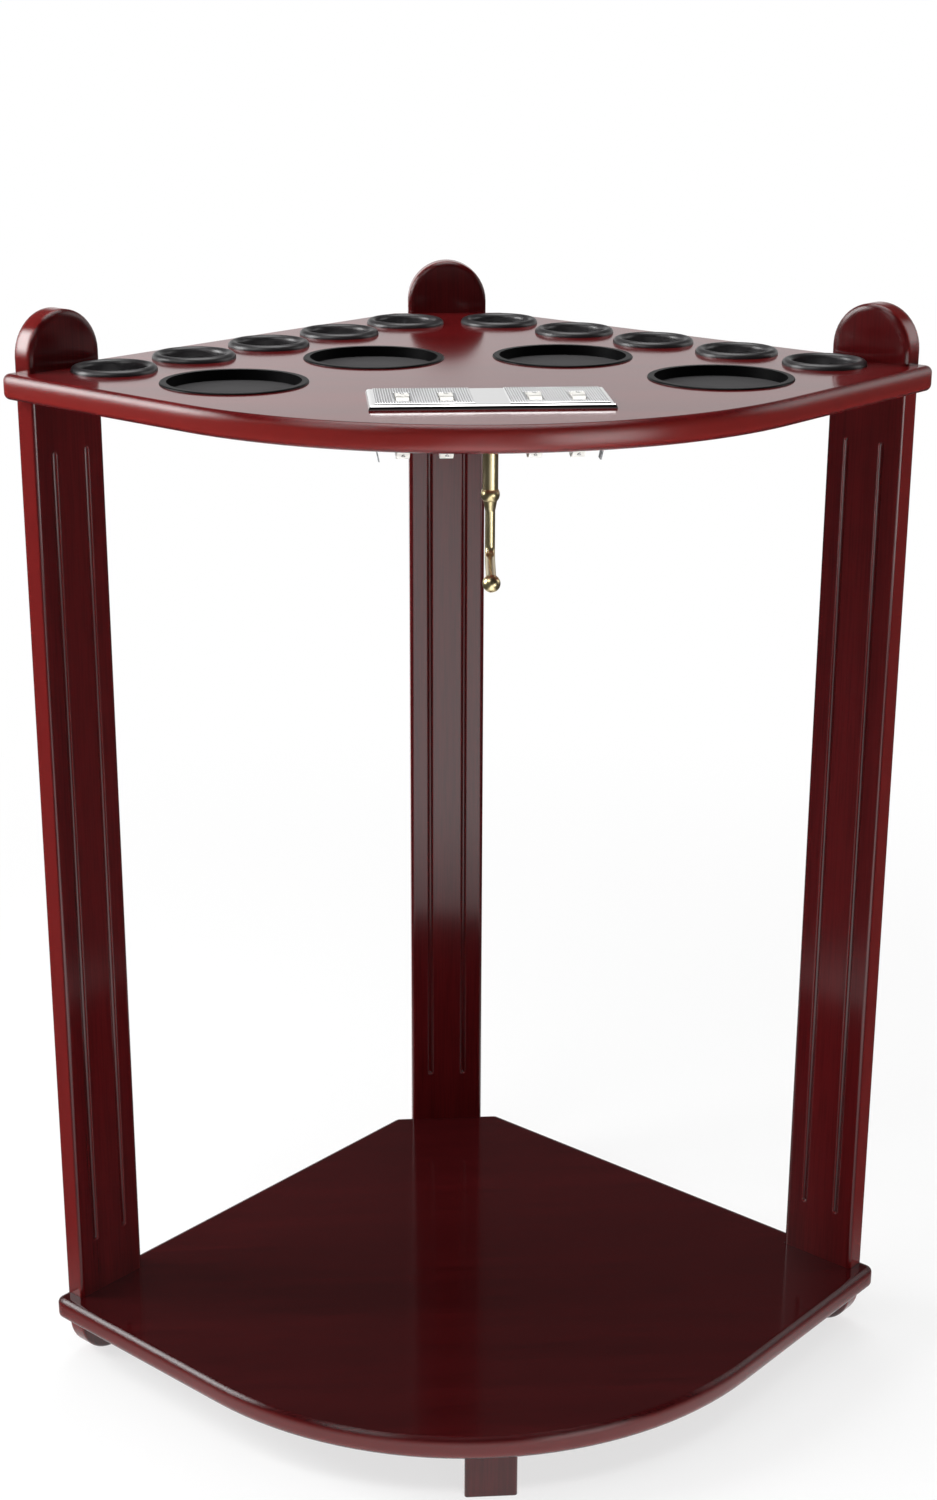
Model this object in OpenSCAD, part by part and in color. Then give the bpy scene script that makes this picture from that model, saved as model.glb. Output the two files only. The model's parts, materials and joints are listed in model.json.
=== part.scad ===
// Corner cue rack: two quarter-fan shelves on three round-ended boards, with collars, dishes,
// a four-wheel score counter and a brass hook. Millimetres, +Z up, front towards -Y, floor at z = 0.
// The origin is under the middle of the rack. The walls of the room meet at [0, corner_y].

/* [Shelves] */
// Length of each wall side of a shelf, from the room corner to the tip
leg = 385; // [374:1:460]
// Radius of the rounded front
front_r = 233; // [200:1:250]
// Thickness of both shelves
shelf_t = 15; // [14:0.5:20]
// Radius of the rounded edge, top and bottom
edge_r = 4; // [3:0.5:4.5]
// Corner radius of the tips, seen from above
tip_r = 5; // [5:0.5:9]
// Height from the top of the bottom shelf to the top of the top shelf
shelf_gap = 604; // [480:1:740]
// Height of the floor gap under the bottom shelf
floor_gap = 32; // [27:1:45]

/* [Posts] */
// Width of each post board
post_w = 52; // [44:1:60]
// Thickness of each post board
post_t = 15; // [12:0.5:18]
// Rounding of the long edges of a board
post_arris = 2.5; // [1:0.5:5.5]
// Shelf left beyond the outer edge of a side board
tip_lap = 10.5; // [9:0.5:14]
// Height of the round end above the top shelf
ear_rise = 34; // [27:1:50]
// Width of a flute
flute_w = 3.5; // [2:0.5:5]
// Distance between the two flutes of a board
flute_gap = 24; // [16:1:30]
// Plain length between the bottom shelf and the flutes
flute_foot = 37; // [10:1:60]
// Plain length between the flutes and the top shelf
flute_head = 32; // [10:1:60]
// Side play of a board in its notch
notch_play = 0.2; // [0.1:0.05:0.5]

/* [Cue rings] */
// Rings along each wall
rings_per_wall = 5; // [3:1:5]
// Distance of the first ring from the room corner, along the wall
ring_first = 84; // [80:1:96]
// Distance of the last ring from the tip, along the wall
ring_last = 51; // [46:1:60]
// Outer diameter of the collar
ring_od = 50; // [46:1:56]
// Clear bore for a cue
ring_bore = 38; // [32:0.5:39]
// Height of the collar above the shelf
ring_h = 3.3; // [3:0.1:5]
// Wall of the sleeve in the shelf
ring_wall = 2; // [1.5:0.1:2.5]
// Gap between the collar and the face of the post
ring_clear = 0.5; // [0.3:0.1:3]

/* [Dishes] */
// Outer diameter of the dish rim
dish_od = 84; // [76:1:88]
// Width of the rim that lies on the shelf
dish_rim = 2.6; // [1.5:0.1:4]
// Height of the rim above the shelf
dish_lip = 1; // [0.6:0.1:2]
// Depth of the dish below the shelf top
dish_depth = 6.5; // [5.5:0.1:8]
// Wall and floor of the dish
dish_wall = 1.4; // [1:0.1:2]
// Distance of the outer dish from the tip side of the shelf
dish_edge = 69; // [60:1:75]
// Distance between the two dishes of one side
dish_pitch = 115; // [100:1:120]
// Distance of the dish row from the wall
dish_row = 121; // [116:1:130]

/* [Score counter] */
// Length of the chrome plate
plate_l = 132; // [126:1:140]
// Width of the chrome plate, front to back
plate_w = 54; // [50:1:58]
// Height of the plate's flat part above the shelf
plate_h = 2.6; // [2.6:0.1:3.5]
// Height of the ribbed fields above the flat part
field_h = 0.6; // [0.3:0.1:1]
// Half width of the plain strip between the two fields
field_in = 9.5; // [8:0.5:12]
// Distance of the plate's middle from the front of the shelf
plate_set = 73; // [68:1:90]
// Diameter of a number wheel
wheel_d = 35; // [30:0.5:35.5]
// Width of a number wheel
wheel_w = 7; // [5:0.5:8]
// Height of a wheel above the ribbed fields
wheel_show = 2; // [1:0.1:2.5]
// Distance between the two wheels of one player
wheel_pitch = 23.5; // [20:0.5:25]
// Distance between the middles of the two pairs of wheels
pair_pitch = 71; // [68:0.5:74]
// Distance of the wheels in front of the plate's middle
wheel_ahead = 5; // [0:0.5:6]
// Diameter of an axle
axle_d = 3; // [2:0.1:4]
// Running clearance of a wheel on its axle, all round
axle_play = 0.05; // [0.02:0.01:0.1]
// Thickness of the steel frames
frame_t = 1; // [0.8:0.1:1.2]
// Thickness of the spring clips
clip_t = 0.8; // [0.6:0.1:1]
// Width of the spring clips
clip_w = 8; // [5:0.5:10]
// Reach of the clips below the shelf
clip_drop = 16; // [8:1:20]

/* [Hook] */
// Distance of the hook from the front of the shelf
hook_set = 63; // [60:1:75]
// Diameter of the turned shank
hook_shank_d = 8.5; // [6:0.5:9]
// Diameter of the hook wire
hook_wire_d = 5.5; // [4:0.5:6.5]
// Length of the shank under the shelf
hook_shank_l = 34; // [20:1:45]
// Drop of the underside of the hook's level run under the shelf
hook_drop = 72; // [64:1:100]
// Forward reach of the hook
hook_reach = 56; // [40:1:58]
// Bend radius of the hook wire
hook_bend = 7; // [6:0.5:12]
// Turn of the hook to the left, seen from above, in degrees
hook_turn = 4; // [0:1:8]
// Diameter of the ball on the tip
hook_ball_d = 9.5; // [7:0.5:11]

/* [Front foot] */
// Width of the front foot
foot_w = 32; // [24:1:45]
// Depth of the front foot
foot_d = 18; // [12:1:30]
// Distance of the foot's face behind the front of the shelf
foot_set = 10; // [8:0.5:20]

/* [Screws] */
// Diameter of a wood screw
screw_d = 4; // [3:0.1:4.5]
// Length of a post screw
screw_l = 40; // [30:1:42]
// Length of a foot screw
foot_screw_l = 26; // [22:1:28]

/* [Hidden] */
// Play of fixed round pieces in their holes, all round
fit_play = 0.15;
// Overlap of a cutting solid past the face that it cuts
cut = 1;
root2 = sqrt(2);

// Heights
bottom_z = floor_gap;
bottom_top = bottom_z + shelf_t;
top_top = bottom_top + shelf_gap;
top_z = top_top - shelf_t;
post_h = top_top + ear_rise;

// Plan
front_reach = leg * root2 - front_r * (root2 - 1);
rear_back = post_w / 2;
rear_face = rear_back + post_t;
corner_y = (front_reach + rear_back) / 2;
front_y = corner_y - front_reach;
arc_at = leg - front_r;
post_at = leg - tip_lap - post_w / 2;

// Rings and dishes
ring_pitch = (leg - ring_last - ring_first) / (rings_per_wall - 1);
ring_row = post_t + ring_clear + ring_od / 2;
ring_sleeve_r = ring_bore / 2 + ring_wall;
ring_hole_r = ring_sleeve_r + fit_play;
ring_bead_r = (ring_od - ring_bore) / 4;
ring_bead_at = ring_od / 2 - ring_bead_r;
dish_body_r = dish_od / 2 - dish_rim;
dish_at = [leg - dish_edge, leg - dish_edge - dish_pitch];
dish_floor_gap = 0.3;

// Score counter
plate_y = front_y + plate_set;
plate_under = top_top + frame_t + clip_t;
plate_rim = plate_h + 0.4;
wheel_r = wheel_d / 2;
wheel_y = plate_y - wheel_ahead;
wheel_z = top_top + plate_h + field_h + wheel_show - wheel_r;
wheel_xs = [for (side = [-1, 1], end = [-1, 1]) side * pair_pitch / 2 + end * wheel_pitch / 2];
wheel_side_play = 0.6;
hub_r = 4.5;
hub_over = 0.4;
hub_w = wheel_w + 2 * hub_over;
washer_t = 0.5;
washer_play = 0.05;
cheek_in = hub_w / 2 + washer_t + 2 * washer_play;
cheek_out = cheek_in + frame_t;
cheek_w = 12;
cheek_below = 4.5;
axle_r = axle_d / 2;
axle_over = 2.2;
axle_half = wheel_pitch / 2 + cheek_out + axle_over;
slot_play = 0.6;
slot_end_gap = 1.2;
window_end_gap = 0.75;
slot_l = 2 * (half_chord(plate_under) + slot_end_gap);
window_l = 2 * (half_chord(top_top) + window_end_gap);
field_margin = 1;
field_root = 0.2;
axle_end_gap = 2;
opening_seat = 1.5;
opening_gap = 0.8;
opening_in = pair_pitch / 2 - axle_half - axle_end_gap;
opening_out = plate_l / 2 - plate_rim - opening_seat;
flange_gap = 0.2;
flange_lap = 4;
flange_end = plate_l / 2 - plate_rim - flange_gap;
flange_half_w = plate_w / 2 - plate_rim - flange_gap;
flange_in = opening_in - flange_lap;
clip_gap = 0.3;
clip_x = opening_out - clip_gap - clip_t;
clip_slot_play = 0.2;
clip_foot = 7;
clip_catch = 2;
stud_r = 1.25;
stud_l = 6;
stud_root = 0.2;
stud_from_axle = 12;
stud_ys = [wheel_y - stud_from_axle, wheel_y + stud_from_axle];
nut_t = 0.6;
nut_r = 3.5;
opening_half = max(wheel_r, stud_from_axle + nut_r) + opening_gap;

// Hook
hook_y = front_y + hook_set;
hook_screw_r = 2.4;
hook_screw_l = 11;
hook_collar_r = 6;
hook_collar_t = 2;
hook_bead_r = 5.2;
hook_taper_r = 4.4;
hook_taper_l = 9;

// Screws
screw_r = screw_d / 2;
screw_head_r = screw_d;
screw_head_h = screw_d * 0.85;
screw_hole_r = screw_r + fit_play;
sink_r = screw_head_r + 2 * fit_play;
sink_h = screw_head_h + 2 * fit_play;
side_screws_top = [15];
side_screws_bottom = [-14, 14];
rear_screws = [-14, 14];
foot_screws = [-8, 8];
foot_screw_bite = 11;
foot_sink_r = screw_head_r + 0.5;
foot_arris = 2;
foot_front = front_y + foot_set;
foot_mid = foot_front + foot_d / 2;
foot_sink = floor_gap + foot_screw_bite - foot_screw_l;

mahogany = "#5a1417";
black = "#161616";
chrome = "#d4d6d8";
steel = "#9a9c9e";
white = "#f2f0ea";
brass = "#cdb476";

RINGS = [for (i = [1:2 * rings_per_wall]) str("cue_ring_", i)];
DISHES = [for (i = [1:4]) str("dish_", i)];
WHEELS = [for (i = [1:4]) str("score_wheel_", i)];

// Half the length of a wheel's section at height z
function half_chord(z) = sqrt(wheel_r * wheel_r - (z - wheel_z) * (z - wheel_z));

// Placing helpers

// Right wall frame: +X runs along the right wall from the room corner, -Y points into the room
module wall_frame() {
    translate([0, corner_y, 0])
        rotate(-45)
            children();
}

// The child as drawn for the right side (1), or mirrored to the left (-1)
module sided(side) {
    if (side > 0)
        children();
    else
        mirror([1, 0, 0])
            children();
}

module both_sides() {
    for (side = [-1, 1])
        sided(side)
            children();
}

// The child turned so that its Z axis runs along X
module along_x() {
    rotate([0, 90, 0])
        children();
}

// Shelves

// Section of a shelf edge, from an inner line at 0 to the rounded outer edge at w
module edge_section(w) {
    square([w - edge_r, shelf_t]);
    translate([0, edge_r])
        square([w, shelf_t - 2 * edge_r]);
    intersection() {
        for (y = [edge_r, shelf_t - edge_r])
            translate([w - edge_r, y])
                circle(r = edge_r, $fn = 64);
        square([w, shelf_t]);
    }
}

// Straight rounded edge that runs along +X from the origin, with the outer side towards +Y
module edge_bar(length, w) {
    rotate([90, 0, 90])
        linear_extrude(length)
            edge_section(w);
}

// One wall arm of a shelf in the right wall frame: wall edge, tip and front edge
module shelf_arm() {
    translate([rear_face, -tip_r, 0])
        edge_bar(leg - tip_r - rear_face, tip_r);
    translate([leg - tip_r, -tip_r, 0])
        rotate_extrude(angle = 90, $fn = 96)
            edge_section(tip_r);
    translate([leg - tip_r, -tip_r, 0])
        rotate(-90)
            edge_bar(arc_at - tip_r, tip_r);
    translate([arc_at, -arc_at, 0])
        cube([front_r - tip_r, arc_at - tip_r, shelf_t]);
}

// Rounded quarter fan before any cut, in the right wall frame
module fan() {
    shelf_arm();
    mirror([1, 1, 0])
        shelf_arm();
    translate([tip_r, -arc_at, 0])
        cube([arc_at - tip_r, arc_at - tip_r, shelf_t]);
    translate([arc_at, -arc_at, 0])
        rotate(-90)
            rotate_extrude(angle = 90, $fn = 240)
                edge_section(front_r);
}

// Notch that a side board passes through
module post_notch() {
    translate([post_at - post_w / 2 - notch_play, -post_t, -cut])
        cube([post_w + 2 * notch_play, post_t + cut, shelf_t + 2 * cut]);
}

// Pilot holes for the screws through one side board
module side_pilots(offsets) {
    for (x = offsets)
        translate([post_at + x, cut, shelf_t / 2])
            rotate([90, 0, 0])
                cylinder(r = screw_hole_r, h = screw_l + 2 * cut, $fn = 32);
}

module rear_pilots() {
    for (x = rear_screws)
        translate([x, corner_y - rear_back, shelf_t / 2])
            rotate([90, 0, 0])
                cylinder(r = screw_hole_r, h = screw_l + cut, $fn = 32);
}

// Shelf outline with the notches, the cut rear corner and the screw holes
module shelf_blank(side_offsets) {
    difference() {
        wall_frame()
            fan();
        both_sides()
            wall_frame() {
                post_notch();
                side_pilots(side_offsets);
            }
        translate([-post_w * 2, corner_y - rear_face, -cut])
            cube([post_w * 4, rear_face * 2, shelf_t + 2 * cut]);
        rear_pilots();
    }
}

module counter_opening() {
    translate([opening_in, wheel_y - opening_half, -cut])
        cube([opening_out - opening_in, 2 * opening_half, shelf_t + 2 * cut]);
}

module top_shelf() {
    color(mahogany)
        translate([0, 0, top_z])
            difference() {
                shelf_blank(side_screws_top);
                both_sides() {
                    wall_frame() {
                        for (i = [0:rings_per_wall - 1])
                            translate([ring_first + i * ring_pitch, -ring_row, -cut])
                                cylinder(r = ring_hole_r, h = shelf_t + 2 * cut, $fn = 96);
                        for (x = dish_at)
                            translate([x, -dish_row, shelf_t - dish_depth - dish_floor_gap])
                                cylinder(r = dish_body_r + fit_play, h = dish_depth + cut, $fn = 128);
                    }
                    counter_opening();
                }
                translate([0, hook_y, -cut])
                    cylinder(r = hook_screw_r + fit_play, h = hook_screw_l + 2 * cut, $fn = 32);
            }
}

module bottom_shelf() {
    color(mahogany)
        translate([0, 0, bottom_z])
            difference() {
                shelf_blank(side_screws_bottom);
                for (x = foot_screws)
                    translate([x, foot_mid, -cut])
                        cylinder(r = screw_hole_r, h = foot_screw_bite + 2 * cut, $fn = 32);
            }
}

// Posts

// Half section of a board: from the middle line to the rounded long edge
module half_board_section() {
    w = post_w / 2;
    r = post_arris;
    square([w - r, post_t]);
    translate([0, r])
        square([w, post_t - 2 * r]);
    for (y = [r, post_t - r])
        translate([w - r, y])
            circle(r = r, $fn = 48);
}

// Half-round end of a board, above z = 0
module board_end() {
    rotate([90, 0, 0])
        rotate_extrude(angle = 180, $fn = 128)
            half_board_section();
}

// Round-bottomed groove with round ends, on the face of a board
module flute(from_z, to_z) {
    r = flute_w / 2;
    translate([0, -post_t, from_z + r]) {
        cylinder(r = r, h = to_z - from_z - 2 * r, $fn = 32);
        sphere(r = r, $fn = 32);
        translate([0, 0, to_z - from_z - 2 * r])
            sphere(r = r, $fn = 32);
    }
}

// Countersunk screw hole from the back of a board
module back_hole(x, z) {
    translate([x, cut, z])
        rotate([90, 0, 0])
            cylinder(r = screw_hole_r, h = post_t + 2 * cut, $fn = 32);
    translate([x, 0, z])
        rotate([90, 0, 0])
            cylinder(r1 = sink_r, r2 = screw_hole_r, h = sink_h, $fn = 48);
}

// Board that stands with its back at y = 0 and its fluted face towards -Y
module post_board(top_offsets, bottom_offsets) {
    color(mahogany)
        difference() {
            union() {
                translate([0, 0, post_w / 2])
                    linear_extrude(post_h - post_w)
                        for (m = [0, 1])
                            mirror([m, 0])
                                mirror([0, 1])
                                    half_board_section();
                translate([0, 0, post_h - post_w / 2])
                    board_end();
                translate([0, 0, post_w / 2])
                    mirror([0, 0, 1])
                        board_end();
            }
            for (x = [-flute_gap / 2, flute_gap / 2])
                translate([x, 0, 0])
                    flute(bottom_top + flute_foot, top_z - flute_head);
            for (x = top_offsets)
                back_hole(x, top_z + shelf_t / 2);
            for (x = bottom_offsets)
                back_hole(x, bottom_z + shelf_t / 2);
        }
}

module side_post(side) {
    sided(side)
        wall_frame()
            translate([post_at, 0, 0])
                post_board(side_screws_top, side_screws_bottom);
}

module left_post() { side_post(-1); }

module right_post() { side_post(1); }

module rear_post() {
    translate([0, corner_y - rear_back, 0])
        post_board(rear_screws, rear_screws);
}

// Rings and dishes

// Collar with a round bead on the shelf and a sleeve through it
module ring_section() {
    bead_mid = ring_h - ring_bead_r;
    intersection() {
        translate([ring_bead_at, bead_mid])
            circle(r = ring_bead_r, $fn = 64);
        square([ring_od, ring_h]);
    }
    translate([ring_bore / 2, -shelf_t])
        square([ring_wall, shelf_t + bead_mid]);
}

// Ring i counts from the left tip to the rear corner and out again to the right tip
module cue_ring(i) {
    side = i < rings_per_wall ? -1 : 1;
    step = i < rings_per_wall ? rings_per_wall - 1 - i : i - rings_per_wall;
    color(black)
        sided(side)
            wall_frame()
                translate([ring_first + step * ring_pitch, -ring_row, top_top])
                    rotate_extrude($fn = 96)
                        ring_section();
}

// Shallow dish: rim on the shelf, wall and floor in the pocket
module dish_section() {
    inner_r = dish_body_r - dish_wall;
    translate([0, -dish_depth])
        square([dish_body_r, dish_wall]);
    translate([inner_r, -dish_depth])
        square([dish_wall, dish_depth + dish_lip]);
    translate([inner_r, 0])
        square([dish_od / 2 - dish_lip - inner_r, dish_lip]);
    intersection() {
        translate([dish_od / 2 - dish_lip, 0])
            circle(r = dish_lip, $fn = 32);
        square([dish_od, dish_lip]);
    }
}

// Dish i counts from the left tip to the right tip
module dish(i) {
    side = i < 2 ? -1 : 1;
    place = i == 0 || i == 3 ? 0 : 1;
    color(black)
        sided(side)
            wall_frame()
                translate([dish_at[place], -dish_row, top_top])
                    rotate_extrude($fn = 128)
                        dish_section();
}

// Score counter

// Block with a quarter-round rim all round, its underside at z = 0
module rolled_block(half_l, half_w, h) {
    intersection() {
        translate([0, half_w, 0])
            rotate([90, 0, 0])
                linear_extrude(2 * half_w)
                    roll_section(half_l, h);
        translate([-half_l, 0, 0])
            rotate([90, 0, 90])
                linear_extrude(2 * half_l)
                    roll_section(half_w, h);
    }
}

module roll_section(half, h) {
    translate([h - half, 0])
        square([2 * (half - h), h]);
    intersection() {
        for (x = [h - half, half - h])
            translate([x, 0])
                circle(r = h, $fn = 64);
        translate([-half, 0])
            square([2 * half, h]);
    }
}

// Two raised fields on the flat part of the plate, with their roots in it
module plate_fields() {
    field_out = plate_l / 2 - plate_h - field_margin;
    half_l = (field_out - field_in) / 2 + field_root;
    half_w = plate_w / 2 - plate_h - field_margin + field_root;
    for (side = [-1, 1])
        translate([side * (field_in + field_out) / 2, 0, plate_h - field_root])
            rolled_block(half_l, half_w, field_h + field_root);
}

module plate_slots() {
    slot_w = wheel_w + 2 * slot_play;
    for (x = wheel_xs)
        translate([x - slot_w / 2, -wheel_ahead - slot_l / 2, -cut])
            cube([slot_w, slot_l, plate_h + field_h + 2 * cut]);
}

module counter_plate() {
    hollow = [plate_l - 2 * plate_rim, plate_w - 2 * plate_rim, plate_under - top_top];
    color(chrome) {
        translate([0, plate_y, top_top])
            difference() {
                union() {
                    rolled_block(plate_l / 2, plate_w / 2, plate_h);
                    plate_fields();
                }
                translate([-hollow[0] / 2, -hollow[1] / 2, -cut])
                    cube(hollow + [0, 0, cut]);
                plate_slots();
            }
        for (side = [-1, 1], y = stud_ys)
            translate([side * pair_pitch / 2, y, plate_under - stud_l])
                cylinder(r = stud_r, h = stud_l + stud_root, $fn = 24);
    }
}

// Steel frame of one pair: flange under the plate and two cheeks beside each wheel
module counter_frame() {
    cheek_bottom = wheel_z - cheek_below;
    pair = [wheel_xs[2], wheel_xs[3]];
    difference() {
        union() {
            translate([flange_in, plate_y - flange_half_w, top_top])
                cube([flange_end - flange_in, 2 * flange_half_w, frame_t]);
            for (x = pair, end = [-1, 1])
                translate([x + end * (cheek_in + frame_t / 2), wheel_y, (cheek_bottom + top_top) / 2])
                    cube([frame_t, cheek_w, top_top - cheek_bottom + frame_t], center = true);
        }
        for (x = pair)
            translate([x - cheek_in, wheel_y - window_l / 2, top_top - cut])
                cube([2 * cheek_in, window_l, frame_t + 2 * cut]);
        translate([0, wheel_y, wheel_z])
            along_x()
                cylinder(r = axle_r + axle_play, h = plate_l, $fn = 32);
        for (y = stud_ys)
            translate([pair_pitch / 2, y, top_top - cut])
                cylinder(r = stud_r + fit_play, h = frame_t + 2 * cut, $fn = 24);
        translate([clip_x - clip_slot_play, wheel_y - clip_w / 2 - clip_slot_play, top_top - cut])
            cube([clip_t + 2 * clip_slot_play, clip_w + 2 * clip_slot_play, frame_t + 2 * cut]);
    }
}

module left_counter_frame() {
    color(steel)
        sided(-1)
            counter_frame();
}

module right_counter_frame() {
    color(steel)
        counter_frame();
}

// Headed axle of the right pair, with the head at its outer end
module axle() {
    head_r = axle_r + 1;
    head_t = 1.2;
    head_gap = 0.1;
    translate([pair_pitch / 2, wheel_y, wheel_z])
        along_x() {
            translate([0, 0, -axle_half])
                cylinder(r = axle_r, h = 2 * axle_half, $fn = 32);
            translate([0, 0, wheel_pitch / 2 + cheek_out + head_gap])
                cylinder(r = head_r, h = head_t, $fn = 32);
        }
}

module left_axle() {
    color(steel)
        sided(-1)
            axle();
}

module right_axle() {
    color(steel)
        axle();
}

// Ring that is pushed onto the inner end of each axle
module axle_retainers() {
    ring_t = 0.8;
    ring_gap = 0.1;
    ring_r = axle_r + 1.4;
    at = pair_pitch / 2 - wheel_pitch / 2 - cheek_out - ring_gap - ring_t;
    color(steel)
        both_sides()
            translate([at, wheel_y, wheel_z])
                along_x()
                    difference() {
                        cylinder(r = ring_r, h = ring_t, $fn = 32);
                        translate([0, 0, -cut])
                            cylinder(r = axle_r + axle_play, h = ring_t + 2 * cut, $fn = 32);
                    }
}

// Number wheel: hub, web and rim, with ten thumb grooves between the numbers
module wheel_section() {
    bore_r = axle_r + axle_play;
    rim_t = 2.5;
    web_t = 3;
    translate([bore_r, -hub_w / 2])
        square([hub_r - bore_r, hub_w]);
    translate([bore_r, -web_t / 2])
        square([wheel_r - bore_r, web_t]);
    translate([wheel_r - rim_t, -wheel_w / 2])
        square([rim_t, wheel_w]);
}

module score_wheel(i) {
    numbers = 10;
    groove_r = 0.9;
    groove_out = 0.3;
    step = 360 / numbers;
    color(white)
        translate([wheel_xs[i], wheel_y, wheel_z])
            along_x()
                difference() {
                    rotate_extrude($fn = 96)
                        wheel_section();
                    for (k = [0:numbers - 1])
                        rotate(180 + step * (k + 0.5))
                            translate([wheel_r + groove_out, 0, -wheel_w])
                                cylinder(r = groove_r, h = 2 * wheel_w, $fn = 24);
                }
}

// Spring washer between each wheel and its outer cheek
module friction_washers() {
    washer_r = 4;
    color(steel)
        both_sides()
            for (x = [wheel_xs[2], wheel_xs[3]])
                translate([x + hub_w / 2 + washer_play, wheel_y, wheel_z])
                    along_x()
                        difference() {
                            cylinder(r = washer_r, h = washer_t, $fn = 32);
                            translate([0, 0, -cut])
                                cylinder(r = axle_r + fit_play, h = washer_t + 2 * cut, $fn = 32);
                        }
}

// Clip seen from the front: foot on the flange, leg through the shelf, catch under it, finger end
module clip_section() {
    leg_out = clip_x + clip_t;
    catch_out = opening_out + clip_catch;
    catch_top = top_z - clip_gap;
    end_z = top_z - clip_drop;
    translate([leg_out - clip_foot, top_top + frame_t])
        square([clip_foot, clip_t]);
    translate([clip_x, catch_top - clip_t])
        square([clip_t, plate_under - catch_top + clip_t]);
    translate([clip_x, catch_top - clip_t])
        square([catch_out - clip_x, clip_t]);
    polygon([
        [catch_out, catch_top],
        [catch_out - clip_t, catch_top - clip_t],
        [clip_x - clip_t, end_z],
        [clip_x, end_z],
        [catch_out, catch_top - clip_t]
    ]);
}

module clip() {
    translate([0, wheel_y + clip_w / 2, 0])
        rotate([90, 0, 0])
            linear_extrude(clip_w)
                clip_section();
}

module left_clip() {
    color(steel)
        sided(-1)
            clip();
}

module right_clip() {
    color(steel)
        clip();
}

// Retainers pushed onto the plate's studs from under the flange
module push_nuts() {
    color(steel)
        for (side = [-1, 1], y = stud_ys)
            translate([side * pair_pitch / 2, y, top_top - nut_t])
                difference() {
                    cylinder(r = nut_r, h = nut_t, $fn = 32);
                    translate([0, 0, -cut])
                        cylinder(r = stud_r + axle_play, h = nut_t + 2 * cut, $fn = 24);
                }
}

// Hook

// Turned shank: screw end in the shelf, collar, shank and bead
module hook_shank() {
    cylinder(r = hook_screw_r, h = hook_screw_l, $fn = 32);
    translate([0, 0, -hook_collar_t])
        cylinder(r = hook_collar_r, h = hook_collar_t, $fn = 48);
    translate([0, 0, -hook_shank_l])
        cylinder(d = hook_shank_d, h = hook_shank_l, $fn = 32);
    translate([0, 0, -hook_shank_l])
        sphere(r = hook_bead_r, $fn = 48);
    translate([0, 0, -hook_shank_l - hook_taper_l])
        cylinder(r1 = hook_wire_d / 2, r2 = hook_taper_r, h = hook_taper_l, $fn = 48);
}

// Quarter bend of the wire in the YZ plane, from straight down to straight forward
module wire_bend() {
    translate([0, -hook_bend, 0])
        rotate([90, 0, 90])
            rotate(-90)
                rotate_extrude(angle = 90, $fn = 96)
                    translate([hook_bend, 0])
                        circle(d = hook_wire_d, $fn = 32);
}

// Wire below the shank: down and forward, with a ball on the tip
module hook_wire() {
    drop = hook_drop - hook_wire_d / 2 - hook_bend;
    translate([0, 0, -drop])
        cylinder(d = hook_wire_d, h = drop - hook_shank_l, $fn = 32);
    translate([0, 0, -drop])
        wire_bend();
    translate([0, -hook_bend, -drop - hook_bend])
        rotate([90, 0, 0])
            cylinder(d = hook_wire_d, h = hook_reach - hook_bend, $fn = 32);
    translate([0, -hook_reach, -drop - hook_bend])
        sphere(d = hook_ball_d, $fn = 48);
}

module ball_rack_hook() {
    color(brass)
        translate([0, hook_y, top_z])
            rotate(-hook_turn) {
                hook_shank();
                hook_wire();
            }
}

// Front foot

module foot_section() {
    r = foot_arris;
    square([foot_w - 2 * r, foot_d], center = true);
    square([foot_w, foot_d - 2 * r], center = true);
    for (x = [-1, 1], y = [-1, 1])
        translate([x * (foot_w / 2 - r), y * (foot_d / 2 - r)])
            circle(r = r, $fn = 32);
}

module front_foot() {
    color(mahogany)
        translate([0, foot_mid, 0])
            difference() {
                linear_extrude(floor_gap)
                    foot_section();
                for (x = foot_screws)
                    translate([x, 0, -cut]) {
                        cylinder(r = screw_hole_r, h = floor_gap + 2 * cut, $fn = 32);
                        cylinder(r = foot_sink_r, h = foot_sink + cut, $fn = 32);
                    }
            }
}

// Screws

// Countersunk wood screw along +Z with the flat of its head at z = 0
module wood_screw(length) {
    tip = screw_d;
    tip_end_r = screw_r / 6;
    cylinder(r1 = screw_head_r, r2 = screw_r, h = screw_head_h, $fn = 32);
    cylinder(r = screw_r, h = length - tip, $fn = 32);
    translate([0, 0, length - tip])
        cylinder(r1 = screw_r, r2 = tip_end_r, h = tip, $fn = 32);
}

// Screws of all three boards into the shelf whose underside is at z
module post_screws(side_offsets, z) {
    color(steel) {
        both_sides()
            wall_frame()
                for (x = side_offsets)
                    translate([post_at + x, -fit_play, z + shelf_t / 2])
                        rotate([90, 0, 0])
                            wood_screw(screw_l);
        for (x = rear_screws)
            translate([x, corner_y - rear_back - fit_play, z + shelf_t / 2])
                rotate([90, 0, 0])
                    wood_screw(screw_l);
    }
}

module top_shelf_screws() { post_screws(side_screws_top, top_z); }

module bottom_shelf_screws() { post_screws(side_screws_bottom, bottom_z); }

module front_foot_screws() {
    color(steel)
        for (x = foot_screws)
            translate([x, foot_mid, foot_sink - screw_head_h])
                wood_screw(foot_screw_l);
}

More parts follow.
